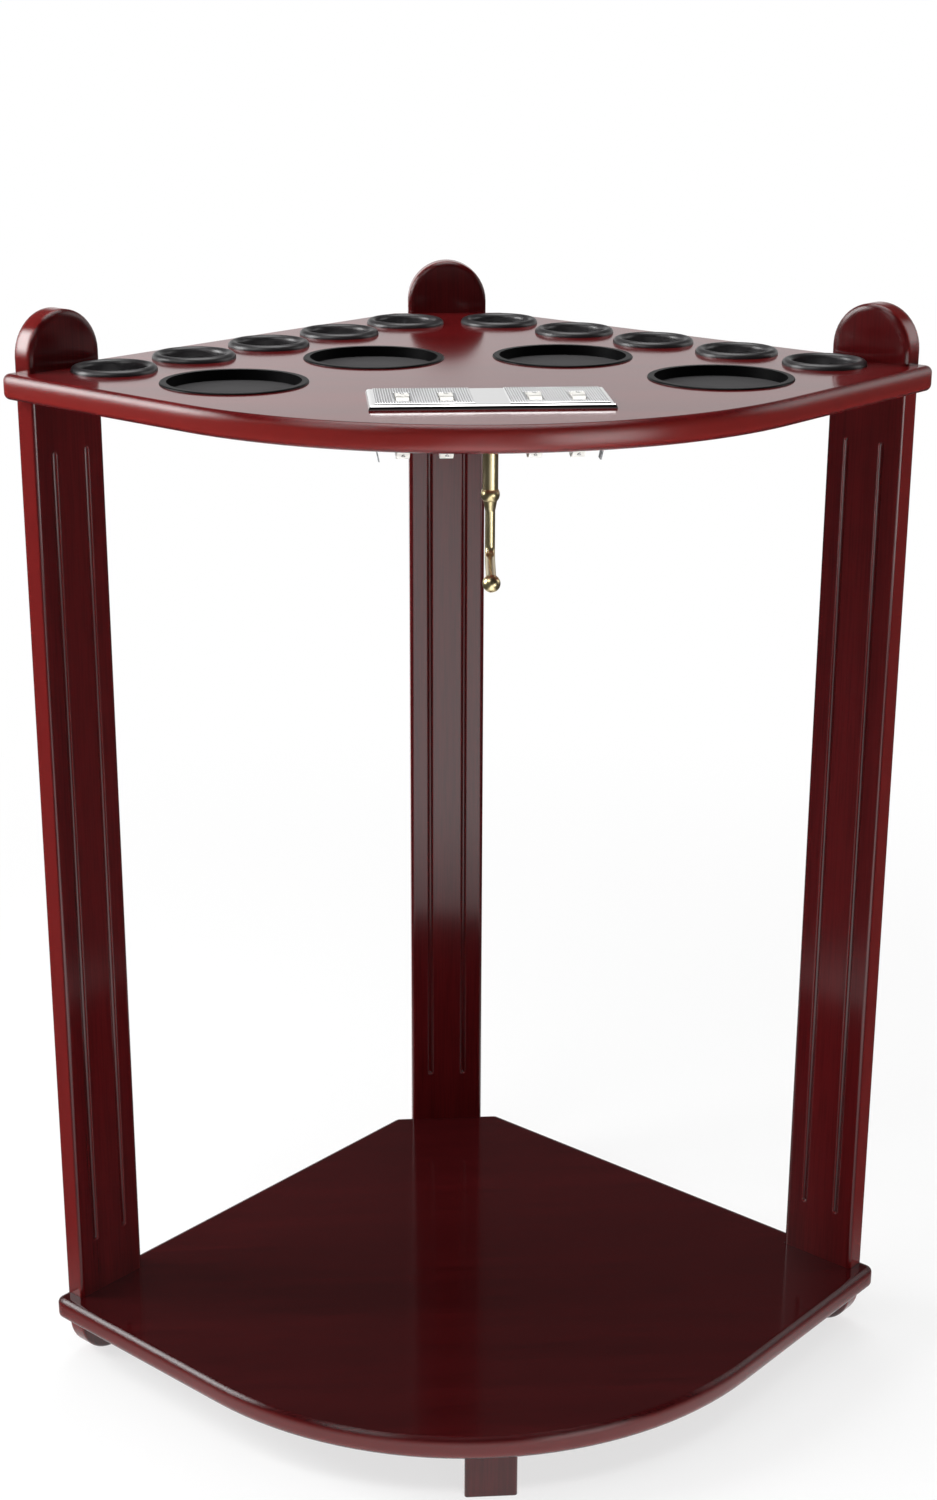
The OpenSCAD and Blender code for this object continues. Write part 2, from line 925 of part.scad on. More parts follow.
top_shelf();
bottom_shelf();
left_post();
right_post();
rear_post();
for (i = [0:len(RINGS) - 1])
    cue_ring(i);
for (i = [0:len(DISHES) - 1])
    dish(i);
counter_plate();
left_counter_frame();
right_counter_frame();
left_axle();
right_axle();
axle_retainers();
for (i = [0:len(WHEELS) - 1])
    score_wheel(i);
friction_washers();
left_clip();
right_clip();
push_nuts();
ball_rack_hook();
front_foot();
top_shelf_screws();
bottom_shelf_screws();
front_foot_screws();
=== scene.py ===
"""Corner cue rack: finishes, plate ribs, numbers, screws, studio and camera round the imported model."""

import json
import logging
import math
from dataclasses import dataclass, field
from enum import Enum

import bmesh
import bpy
from mathutils import Matrix, Vector


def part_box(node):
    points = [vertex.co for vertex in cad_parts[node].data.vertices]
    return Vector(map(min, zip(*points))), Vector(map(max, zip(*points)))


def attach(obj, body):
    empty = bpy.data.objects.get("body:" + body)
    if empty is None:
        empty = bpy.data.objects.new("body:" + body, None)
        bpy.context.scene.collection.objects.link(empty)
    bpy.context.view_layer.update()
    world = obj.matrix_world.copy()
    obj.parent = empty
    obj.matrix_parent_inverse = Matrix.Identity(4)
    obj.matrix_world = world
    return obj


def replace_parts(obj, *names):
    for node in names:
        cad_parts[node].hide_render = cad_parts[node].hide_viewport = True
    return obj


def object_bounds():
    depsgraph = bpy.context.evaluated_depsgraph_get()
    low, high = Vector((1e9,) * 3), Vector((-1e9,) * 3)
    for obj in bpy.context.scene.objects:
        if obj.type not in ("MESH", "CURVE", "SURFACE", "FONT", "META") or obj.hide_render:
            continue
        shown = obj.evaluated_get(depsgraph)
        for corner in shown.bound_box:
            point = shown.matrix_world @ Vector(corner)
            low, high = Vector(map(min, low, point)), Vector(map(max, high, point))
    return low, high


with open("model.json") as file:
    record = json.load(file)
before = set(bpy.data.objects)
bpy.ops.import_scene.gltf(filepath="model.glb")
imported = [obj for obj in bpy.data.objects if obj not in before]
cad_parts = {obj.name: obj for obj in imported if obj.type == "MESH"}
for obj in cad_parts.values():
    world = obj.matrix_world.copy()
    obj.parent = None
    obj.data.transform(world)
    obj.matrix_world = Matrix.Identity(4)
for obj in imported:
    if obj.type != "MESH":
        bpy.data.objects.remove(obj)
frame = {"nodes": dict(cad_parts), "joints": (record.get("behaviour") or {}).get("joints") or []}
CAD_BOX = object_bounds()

BMesh = bmesh.types.BMesh
Material = bpy.types.Material
Node = bpy.types.Node
NodeTree = bpy.types.NodeTree
Socket = bpy.types.NodeSocket
Colour = tuple[float, float, float, float]
Point = tuple[float, float, float]
Pair = tuple[float, float]

MM = 0.001
MERGE = 0.001 * MM
RACK = "rack"
WHITE = (1.0, 1.0, 1.0, 1.0)
BLACK = (0.0, 0.0, 0.0, 1.0)
# Sockets of a Mix node, which keeps a set for each kind of value.
SHARE = 0
NUMBER_A, NUMBER_B, NUMBER_OUT = 2, 3, 0
COLOUR_A, COLOUR_B, COLOUR_OUT = 6, 7, 2
LOG = logging.getLogger("cue_rack")


class Facing(Enum):
    """Outward direction of a board's broad face, in the row frame."""

    UP = (0.0, 0.0, 1.0)
    FRONT = (0.0, -1.0, 0.0)
    FROM_LEFT_WALL = (math.sqrt(0.5), -math.sqrt(0.5), 0.0)
    FROM_RIGHT_WALL = (-math.sqrt(0.5), -math.sqrt(0.5), 0.0)


class Grain(Enum):
    """How a pattern is squeezed so that the wood's figure runs along the board."""

    UPRIGHT = (1.0, 1.0, 0.03)
    LEVEL = (0.03, 1.0, 1.0)


def linear(hex_colour: str) -> Colour:
    """Turn an sRGB hex colour into linear RGBA, by the sRGB standard's curve.

    Args:
        hex_colour: Colour such as "#5a1417".

    Returns:
        Linear red, green, blue and an alpha of 1.
    """
    parts = [int(hex_colour[i:i + 2], 16) / 255 for i in (1, 3, 5)]
    red, green, blue = (c / 12.92 if c <= 0.04045 else ((c + 0.055) / 1.055) ** 2.4 for c in parts)
    return red, green, blue, 1.0


def grey(level: float) -> Colour:
    """Give a linear grey."""
    return level, level, level, 1.0


def per_mm(size_mm: float) -> float:
    """Give the texture scale at which one feature is size_mm wide, on coordinates in metres."""
    return 1 / (size_mm * MM)


def fill(tree: NodeTree, node: Node, inputs: dict) -> None:
    """Set or link a node's inputs.

    Args:
        tree: Node tree that holds the node.
        node: Node that gets them.
        inputs: Input name or index to a value, or to the output socket that feeds it.
    """
    for name, value in inputs.items():
        if isinstance(value, Socket):
            tree.links.new(value, node.inputs[name])
        else:
            node.inputs[name].default_value = value


def add_node(
        tree: NodeTree, kind: str, inputs: dict | None = None,
        stops: tuple[tuple[float, Colour], ...] = (), **settings) -> Node:
    """Add a node, set its properties and fill or link its inputs.

    Args:
        tree: Node tree that gets the node.
        kind: Blender's type name of the node.
        inputs: Input name or index to a value, or to the output socket that feeds it.
        stops: Position and linear colour of each stop, where the node has a ramp.
        settings: Properties of the node.

    Returns:
        The new node.
    """
    made = tree.nodes.new(kind)
    for name, value in settings.items():
        setattr(made, name, value)
    for number, (position, colour) in enumerate(stops):
        made.color_ramp.elements[number].position = position
        made.color_ramp.elements[number].color = colour
    fill(tree, made, inputs or {})
    return made


def start_material(name: str) -> tuple[Material, NodeTree, Socket, Node]:
    """Make a material with its coordinates and an empty surface.

    Args:
        name: Name of the material.

    Returns:
        The material, its node tree, the Object coordinates and the Principled shader.
    """
    material = bpy.data.materials.new(name)
    material.use_nodes = True
    tree = material.node_tree
    tree.nodes.clear()
    shader = add_node(tree, "ShaderNodeBsdfPrincipled")
    add_node(tree, "ShaderNodeOutputMaterial", {"Surface": shader.outputs["BSDF"]})
    coords = add_node(tree, "ShaderNodeTexCoord").outputs["Object"]
    return material, tree, coords, shader


@dataclass(frozen=True)
class LacqueredMahogany:
    """Mahogany-stained hardwood under a flowed gloss lacquer.

    The stain hides most of the figure, the lacquer mirrors the room, and the sanded edges show redder.
    """

    name: str
    facing: Facing
    grain: Grain
    dark: str = "#430b0d"
    light: str = "#521012"
    edge: str = "#6b1817"
    figure_mm: float = 22.0
    figure_ramp: Pair = (0.3, 0.72)
    pore_mm: float = 1.1
    pore_ramp: Pair = (0.36, 0.56)
    pore_shade: float = 0.78
    # The edge colour shows most where a face looks across the facing, and not where it looks along it.
    worn_ramp: Pair = (0.25, 0.65)
    worn_most: float = 0.9
    # Softening of the arrises, below the height of the ears and above it.
    sanded_mm: Pair = (6.5, 6.5)
    ear_z: float = 0.65
    ear_step_mm: float = 5.0
    # Faces that look along the facing by more than this are not softened; past 1, all are.
    rim: float = 0.98
    # Painted shade: part of the edge colour left on the upper side of a rounded edge, darkened for the
    # weaker light there.
    pooled: float = 0.6
    pool_tilt: float = 0.3
    # Roughness of the lacquer on broad faces, and on edges, where it is thinner.
    face_gloss: float = 0.12
    rim_gloss: float = 0.26
    # Slow waves that stay in the lacquer after it has flowed out.
    flow_mm: float = 26.0
    flow_deep_mm: float = 0.15
    flow_bump: float = 0.12
    ior: float = 1.48

    def material(self) -> Material:
        """Build the material.

        Returns:
            A material for boards with this face and grain.
        """
        material, tree, coords, shader = start_material(f"mahogany_lacquer_{self.name}")
        normal = add_node(tree, "ShaderNodeNewGeometry").outputs["Normal"]
        across = add_node(
            tree, "ShaderNodeVectorMath", {0: normal, 1: self.facing.value}, operation="DOT_PRODUCT")
        flat = add_node(
            tree, "ShaderNodeMath", {0: across.outputs["Value"]}, operation="ABSOLUTE").outputs[0]
        first, last = self.worn_ramp
        worn = add_node(
            tree, "ShaderNodeValToRGB", {"Fac": flat},
            stops=((first, grey(self.worn_most)), (last, BLACK))).outputs["Color"]
        sanded = self.add_sanding(tree, coords, flat)
        colour = add_node(tree, "ShaderNodeMix", {
            SHARE: worn, COLOUR_A: self.add_stain(tree, coords), COLOUR_B: self.add_edge(tree, sanded)},
            data_type="RGBA")
        flow = add_node(tree, "ShaderNodeTexNoise", {
            "Vector": coords, "Scale": per_mm(self.flow_mm), "Detail": 1.0})
        waves = add_node(tree, "ShaderNodeBump", {
            "Strength": self.flow_bump, "Distance": self.flow_deep_mm * MM,
            "Height": flow.outputs["Fac"], "Normal": sanded})
        gloss = add_node(tree, "ShaderNodeMapRange", {
            "Value": worn, "To Min": self.face_gloss, "To Max": self.rim_gloss})
        fill(tree, shader, {
            "Base Color": colour.outputs[COLOUR_OUT], "Roughness": gloss.outputs["Result"],
            "Normal": waves.outputs["Normal"], "IOR": self.ior})
        return material

    def add_stain(self, tree: NodeTree, coords: Socket) -> Socket:
        """Add the stained figure and its darker pores.

        Args:
            tree: Node tree that gets the nodes.
            coords: Object coordinates.

        Returns:
            The colour of the broad faces.
        """
        squeezed = {"Vector": coords, "Scale": self.grain.value}
        along = add_node(tree, "ShaderNodeMapping", squeezed).outputs["Vector"]
        figure = add_node(tree, "ShaderNodeTexNoise", {
            "Vector": along, "Scale": per_mm(self.figure_mm),
            "Detail": 4.0, "Roughness": 0.6, "Distortion": 0.6})
        pores = add_node(tree, "ShaderNodeTexNoise", {
            "Vector": along, "Scale": per_mm(self.pore_mm), "Detail": 2.0, "Roughness": 0.5})
        first, last = self.figure_ramp
        stain = add_node(
            tree, "ShaderNodeValToRGB", {"Fac": figure.outputs["Fac"]},
            stops=((first, linear(self.dark)), (last, linear(self.light))))
        first, last = self.pore_ramp
        streaks = add_node(
            tree, "ShaderNodeValToRGB", {"Fac": pores.outputs["Fac"]},
            stops=((first, grey(self.pore_shade)), (last, WHITE)))
        wood = add_node(tree, "ShaderNodeMix", {
            SHARE: 1.0, COLOUR_A: stain.outputs["Color"], COLOUR_B: streaks.outputs["Color"]},
            data_type="RGBA", blend_type="MULTIPLY")
        return wood.outputs[COLOUR_OUT]

    def add_edge(self, tree: NodeTree, sanded: Socket) -> Socket:
        """Add the edge colour, with painted shade that darkens the upper side of a rounded edge.

        Args:
            tree: Node tree that gets the nodes.
            sanded: Softened normal.

        Returns:
            The colour of the edges.
        """
        # Painted shade: where the softened normal tilts up, the edge colour is darkened.
        tilt = add_node(tree, "ShaderNodeSeparateXYZ", {"Vector": sanded}).outputs["Z"]
        upper_shade_factor = add_node(tree, "ShaderNodeMapRange", {
            "Value": tilt, "From Min": -self.pool_tilt, "From Max": self.pool_tilt,
            "To Min": 1.0, "To Max": self.pooled})
        edge = add_node(tree, "ShaderNodeMix", {
            SHARE: 1.0, COLOUR_A: linear(self.edge), COLOUR_B: upper_shade_factor.outputs["Result"]},
            data_type="RGBA", blend_type="MULTIPLY")
        return edge.outputs[COLOUR_OUT]

    def add_sanding(self, tree: NodeTree, coords: Socket, flat: Socket) -> Socket:
        """Add the softening of the arrises.

        Args:
            tree: Node tree that gets the nodes.
            coords: Object coordinates.
            flat: How squarely a face looks along the facing, from 0 to 1.

        Returns:
            The softened normal.
        """
        height = add_node(tree, "ShaderNodeSeparateXYZ", {"Vector": coords}).outputs["Z"]
        low, high = self.sanded_mm
        soft = add_node(tree, "ShaderNodeMapRange", {
            "Value": height, "From Min": self.ear_z - self.ear_step_mm * MM, "From Max": self.ear_z,
            "To Min": low * MM, "To Max": high * MM}).outputs["Result"]
        near_rim = add_node(tree, "ShaderNodeMath", {0: flat, 1: self.rim}, operation="LESS_THAN")
        radius = add_node(
            tree, "ShaderNodeMath", {0: soft, 1: near_rim.outputs[0]}, operation="MULTIPLY").outputs[0]
        return add_node(tree, "ShaderNodeBevel", {"Radius": radius}, samples=6).outputs["Normal"]


@dataclass(frozen=True)
class CloudedFinish:
    """Finish whose colour and gloss drift together, as a mould or a plating bath leaves them."""

    name: str
    dark: str
    light: str
    roughness: Pair
    cloud_mm: float
    detail: float
    cloud_ramp: Pair = (0.3, 0.7)

    def constants(self) -> dict:
        """Give the shader's sockets that are the same all over."""
        return {}

    def material(self) -> Material:
        """Build the material.

        Returns:
            A material with this drift.
        """
        material, tree, coords, shader = start_material(self.name)
        cloud = add_node(tree, "ShaderNodeTexNoise", {
            "Vector": coords, "Scale": per_mm(self.cloud_mm), "Detail": self.detail}).outputs["Fac"]
        first, last = self.cloud_ramp
        colour = add_node(
            tree, "ShaderNodeValToRGB", {"Fac": cloud},
            stops=((first, linear(self.dark)), (last, linear(self.light))))
        low, high = self.roughness
        gloss = add_node(tree, "ShaderNodeMapRange", {
            "Value": cloud, "From Min": first, "From Max": last, "To Min": low, "To Max": high})
        fill(tree, shader, {
            "Base Color": colour.outputs["Color"], "Roughness": gloss.outputs["Result"],
            **self.constants()})
        return material


@dataclass(frozen=True)
class MouldedAbs(CloudedFinish):
    """Injection-moulded ABS: even colour, a soft gloss and faint cloudiness from the mould."""

    detail: float = 3.0
    ior: float = 1.54

    def constants(self) -> dict:
        """Give the plastic's IOR."""
        return {"IOR": self.ior}


@dataclass(frozen=True)
class Metal(CloudedFinish):
    """Bare or plated metal: a tinted mirror whose roughness drifts with the plating or the polish."""

    detail: float = 4.0

    def constants(self) -> dict:
        """Make the surface metal."""
        return {"Metallic": 1.0}


@dataclass(frozen=True)
class DishAbs:
    """Black ABS dish: smooth rim and wall, and a floor with a fine spark-eroded grain that scatters light,
    its matt sheen partly painted into a lighter grey.

    The grain is drawn coarser than the real one, which is too fine to show.
    """

    floor_z: float
    name: str = "black_abs_dish"
    wall: str = "#050506"
    # The floor's grey is partly the plastic's own and partly its matt sheen, painted into the colour while
    # the shine stays low.
    floor: str = "#434243"
    wall_rough: float = 0.38
    floor_rough: float = 0.62
    floor_slack_mm: float = 0.1
    grit_mm: float = 0.7
    grit_deep_mm: float = 0.08
    grit_bump: float = 0.35
    ior: float = 1.54
    shine: float = 0.08

    def material(self) -> Material:
        """Build the material.

        Returns:
            A plastic material that turns matt on the dish floor.
        """
        material, tree, coords, shader = start_material(self.name)
        height = add_node(tree, "ShaderNodeSeparateXYZ", {"Vector": coords}).outputs["Z"]
        floor_top = self.floor_z + self.floor_slack_mm * MM
        low = add_node(
            tree, "ShaderNodeMath", {0: height, 1: floor_top}, operation="LESS_THAN").outputs[0]
        grit = add_node(tree, "ShaderNodeTexNoise", {
            "Vector": coords, "Scale": per_mm(self.grit_mm), "Detail": 2.0})
        colour = add_node(tree, "ShaderNodeMix", {
            SHARE: low, COLOUR_A: linear(self.wall), COLOUR_B: linear(self.floor)}, data_type="RGBA")
        gloss = add_node(tree, "ShaderNodeMapRange", {
            "Value": low, "To Min": self.wall_rough, "To Max": self.floor_rough})
        strength = add_node(tree, "ShaderNodeMath", {0: low, 1: self.grit_bump}, operation="MULTIPLY")
        bump = add_node(tree, "ShaderNodeBump", {
            "Strength": strength.outputs[0], "Distance": self.grit_deep_mm * MM,
            "Height": grit.outputs["Fac"]})
        fill(tree, shader, {
            "Base Color": colour.outputs[COLOUR_OUT], "Roughness": gloss.outputs["Result"],
            "Normal": bump.outputs["Normal"], "IOR": self.ior, "Specular IOR Level": self.shine})
        return material


@dataclass(frozen=True)
class EtchedChrome:
    """Chrome plate: a mirror all round, with the ground between the ribs etched rougher and painted a
    darker grey as the shade between the ribs.
    """

    field_z: float
    name: str = "etched_chrome_plate"
    bright: str = "#fafafa"
    etched: str = "#cdced0"
    bright_rough: Pair = (0.03, 0.08)
    etched_rough: float = 0.3
    field_slack_mm: float = 0.03
    cloud_mm: float = 9.0

    def material(self) -> Material:
        """Build the material.

        Returns:
            A metal material that turns satin, with painted shade, at the height of the ribbed fields.
        """
        material, tree, coords, shader = start_material(self.name)
        height = add_node(tree, "ShaderNodeSeparateXYZ", {"Vector": coords}).outputs["Z"]
        field_low = self.field_z - self.field_slack_mm * MM
        # Painted shade: the ground at the fields' height is darker as well as rougher.
        shaded_ground = add_node(
            tree, "ShaderNodeMath", {0: height, 1: field_low}, operation="GREATER_THAN").outputs[0]
        cloud = add_node(tree, "ShaderNodeTexNoise", {
            "Vector": coords, "Scale": per_mm(self.cloud_mm), "Detail": 3.0})
        colour = add_node(tree, "ShaderNodeMix", {
            SHARE: shaded_ground, COLOUR_A: linear(self.bright), COLOUR_B: linear(self.etched)},
            data_type="RGBA")
        low, high = self.bright_rough
        mirror = add_node(tree, "ShaderNodeMapRange", {
            "Value": cloud.outputs["Fac"], "To Min": low, "To Max": high})
        gloss = add_node(tree, "ShaderNodeMix", {
            SHARE: shaded_ground, NUMBER_A: mirror.outputs["Result"], NUMBER_B: self.etched_rough},
            data_type="FLOAT")
        fill(tree, shader, {
            "Base Color": colour.outputs[COLOUR_OUT], "Roughness": gloss.outputs[NUMBER_OUT],
            "Metallic": 1.0})
        return material


# Black ABS of the collars: satin, so that a lamp spreads into a soft streak round the rim.
BLACK_ABS = MouldedAbs("black_abs_satin", "#252325", "#292729", (0.36, 0.4), 9.0)
# White ABS of the number wheels: a warm white with a soft highlight along the drum.
WHITE_ABS = MouldedAbs("white_abs_moulded", "#e9e7e1", "#f3f1ec", (0.26, 0.36), 5.0)
# Ink of the numbers: a dull near black, a little uneven as pad printing is.
PRINT_INK = MouldedAbs("black_print_ink", "#2a2a2d", "#343437", (0.4, 0.5), 0.8)
# Chrome of the ribs: a clean mirror that draws each rib as a fine bright line.
CHROME = Metal("bright_chrome_plate", "#f2f2f3", "#fbfbfb", (0.03, 0.07), 9.0)
# Zinc-plated steel of the works and screws: a patchy grey between satin and dull.
ZINC = Metal("zinc_plated_steel", "#8f9295", "#b9bcbe", (0.22, 0.4), 2.0)
# Brass of the hook: a pale yellow with a soft bright strip along the wire.
BRASS = Metal("polished_pale_brass", "#d6c596", "#e2d4a9", (0.3, 0.33), 12.0)


def dress(names: list[str], material: Material) -> None:
    """Give CAD nodes a material.

    Args:
        names: Node names.
        material: Material that they all share.
    """
    for name in names:
        mesh = frame["nodes"][name].data
        mesh.materials.clear()
        mesh.materials.append(material)
        LOG.info("%s: %s", name, material.name)


def add_piece(name: str, bm: BMesh, material: Material, body: str) -> bpy.types.Object:
    """Turn a finished bmesh into a piece that rides on a body.

    Args:
        name: Name of the piece.
        bm: Its mesh, in place; it is freed here.
        material: Its material.
        body: CAD body that carries it.

    Returns:
        The new object.
    """
    mesh = bpy.data.meshes.new(name)
    bm.to_mesh(mesh)
    bm.free()
    mesh.materials.append(material)
    piece = bpy.data.objects.new(name, mesh)
    bpy.context.scene.collection.objects.link(piece)
    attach(piece, body)
    LOG.info("%s: %d faces on %s", name, len(mesh.polygons), body)
    return piece


@dataclass
class Carcass:
    """Shelves, boards, front foot and their screws."""

    # One mahogany with painted light and shade: the upper shelf painted the reddest and lightest for the
    # strong light on it, the lower shelf painted the darkest for the shade under the upper shelf, and the
    # boards lie between.
    top_stain: tuple[str, str, str] = ("#591012", "#6a1618", "#82201c")
    bottom_stain: tuple[str, str] = ("#350a0c", "#3f0d0f")
    plain_rim_gloss: float = 0.15
    board_sanded_mm: Pair = (1.2, 4.5)
    board_rim: float = 2.0
    # Painted upper-edge shade on the boards; 1 paints none.
    board_pooled: float = 1.0
    # How the flat of a screw head is told from the other faces.
    head_r_mm: float = 4.2
    head_mm2: float = 40.0
    head_corners: int = 12
    head_slack_mm: float = 0.01
    head_square: float = 0.999
    flat_deg: float = 0.5
    cut_mm: float = 0.0001
    # Cross recess of a head.
    cross_w_mm: float = 0.9
    cross_l_mm: float = 4.4
    cross_deep_mm: float = 1.6
    cross_taper: float = 0.55
    screws: list[str] = field(
        default_factory=lambda: ["top_shelf_screws", "bottom_shelf_screws", "front_foot_screws"])

    def dress(self) -> None:
        """Lacquer the wood with the grain along each board, and plate the screws."""
        # Painted-lit copy of the stain for the upper shelf, painted-shaded copy for the lower.
        top = LacqueredMahogany("top", Facing.UP, Grain.LEVEL, *self.top_stain)
        bottom = LacqueredMahogany(
            "bottom", Facing.UP, Grain.LEVEL, *self.bottom_stain, rim_gloss=self.plain_rim_gloss)
        dress(["top_shelf"], top.material())
        dress(["bottom_shelf"], bottom.material())
        boards = {
            "front": (Facing.FRONT, ["rear_post", "front_foot"]),
            "left": (Facing.FROM_LEFT_WALL, ["left_post"]),
            "right": (Facing.FROM_RIGHT_WALL, ["right_post"])}
        for word, (facing, names) in boards.items():
            finish = LacqueredMahogany(
                word, facing, Grain.UPRIGHT, sanded_mm=self.board_sanded_mm, rim=self.board_rim,
                pooled=self.board_pooled, rim_gloss=self.plain_rim_gloss)
            dress(names, finish.material())
        zinc = ZINC.material()
        for name in self.screws:
            self.add_screws(name, zinc)

    def add_screws(self, name: str, zinc: Material) -> None:
        """Replace a set of screws by the same screws with a cross recess in each head.

        Args:
            name: CAD node of the screws.
            zinc: Plating.
        """
        bm = bmesh.new()
        bm.from_mesh(frame["nodes"][name].data)
        bmesh.ops.remove_doubles(bm, verts=bm.verts, dist=MERGE)
        bmesh.ops.dissolve_limit(
            bm, angle_limit=math.radians(self.flat_deg), verts=bm.verts, edges=bm.edges)
        least = self.head_mm2 * MM * MM
        heads = [f for f in bm.faces if f.calc_area() > least and len(f.verts) > self.head_corners]
        for middle, normal in [(f.calc_center_median(), f.normal.copy()) for f in heads]:
            self.cut_cross(bm, middle, normal)
        bmesh.ops.recalc_face_normals(bm, faces=bm.faces)
        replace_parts(add_piece(f"{name}_crossed", bm, zinc, RACK), name)

    def cut_cross(self, bm: BMesh, middle: Vector, normal: Vector) -> None:
        """Sink a tapered cross into one flat head.

        Args:
            bm: Mesh of the screws.
            middle: Middle of the head.
            normal: Outward direction of the head.
        """
        first = normal.orthogonal().normalized()
        second = normal.cross(first)
        half_w = self.cross_w_mm * MM / 2
        half_l = self.cross_l_mm * MM / 2
        for axis in (first, second):
            for at in (-half_l, -half_w, half_w, half_l):
                top = [f for f in bm.faces if self.on_head(f, middle, normal)]
                edges = list({e for f in top for e in f.edges})
                corners = list({v for f in top for v in f.verts})
                bmesh.ops.bisect_plane(
                    bm, geom=edges + corners + top, plane_co=middle + axis * at, plane_no=axis,
                    dist=self.cut_mm * MM)
        cross = []
        for f in bm.faces:
            if self.on_head(f, middle, normal):
                spot = f.calc_center_median() - middle
                u, v = abs(spot.dot(first)), abs(spot.dot(second))
                if min(u, v) < half_w and max(u, v) < half_l:
                    cross.append(f)
        sunk = bmesh.ops.extrude_face_region(bm, geom=cross)["geom"]
        bmesh.ops.delete(bm, geom=[f for f in cross if f.is_valid], context="FACES_ONLY")
        for v in [v for v in sunk if isinstance(v, bmesh.types.BMVert)]:
            spot = v.co - middle
            v.co = middle + spot * self.cross_taper - normal * self.cross_deep_mm * MM

    def on_head(self, face: bmesh.types.BMFace, middle: Vector, normal: Vector) -> bool:
        """Tell whether a face lies in the flat of one head.

        Args:
            face: Face of the screws' mesh.
            middle: Middle of the head.
            normal: Outward direction of the head.

        Returns:
            True for a face in that flat.
        """
        spot = face.calc_center_median() - middle
        level = abs(spot.dot(normal)) < self.head_slack_mm * MM
        near = spot.length < self.head_r_mm * MM
        return near and level and face.normal.dot(normal) > self.head_square


@dataclass
class TableTop:
    """Cue rings and dishes of the upper shelf."""

    rings: int = 10
    dishes: int = 4
    dish_floor_mm: float = 1.4

    def dress(self) -> None:
        """Give the rings and the dishes their plastics."""
        dress([f"cue_ring_{i + 1}" for i in range(self.rings)], BLACK_ABS.material())
        floor_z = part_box("dish_1")[0].z + self.dish_floor_mm * MM
        dress([f"dish_{i + 1}" for i in range(self.dishes)], DishAbs(floor_z).material())


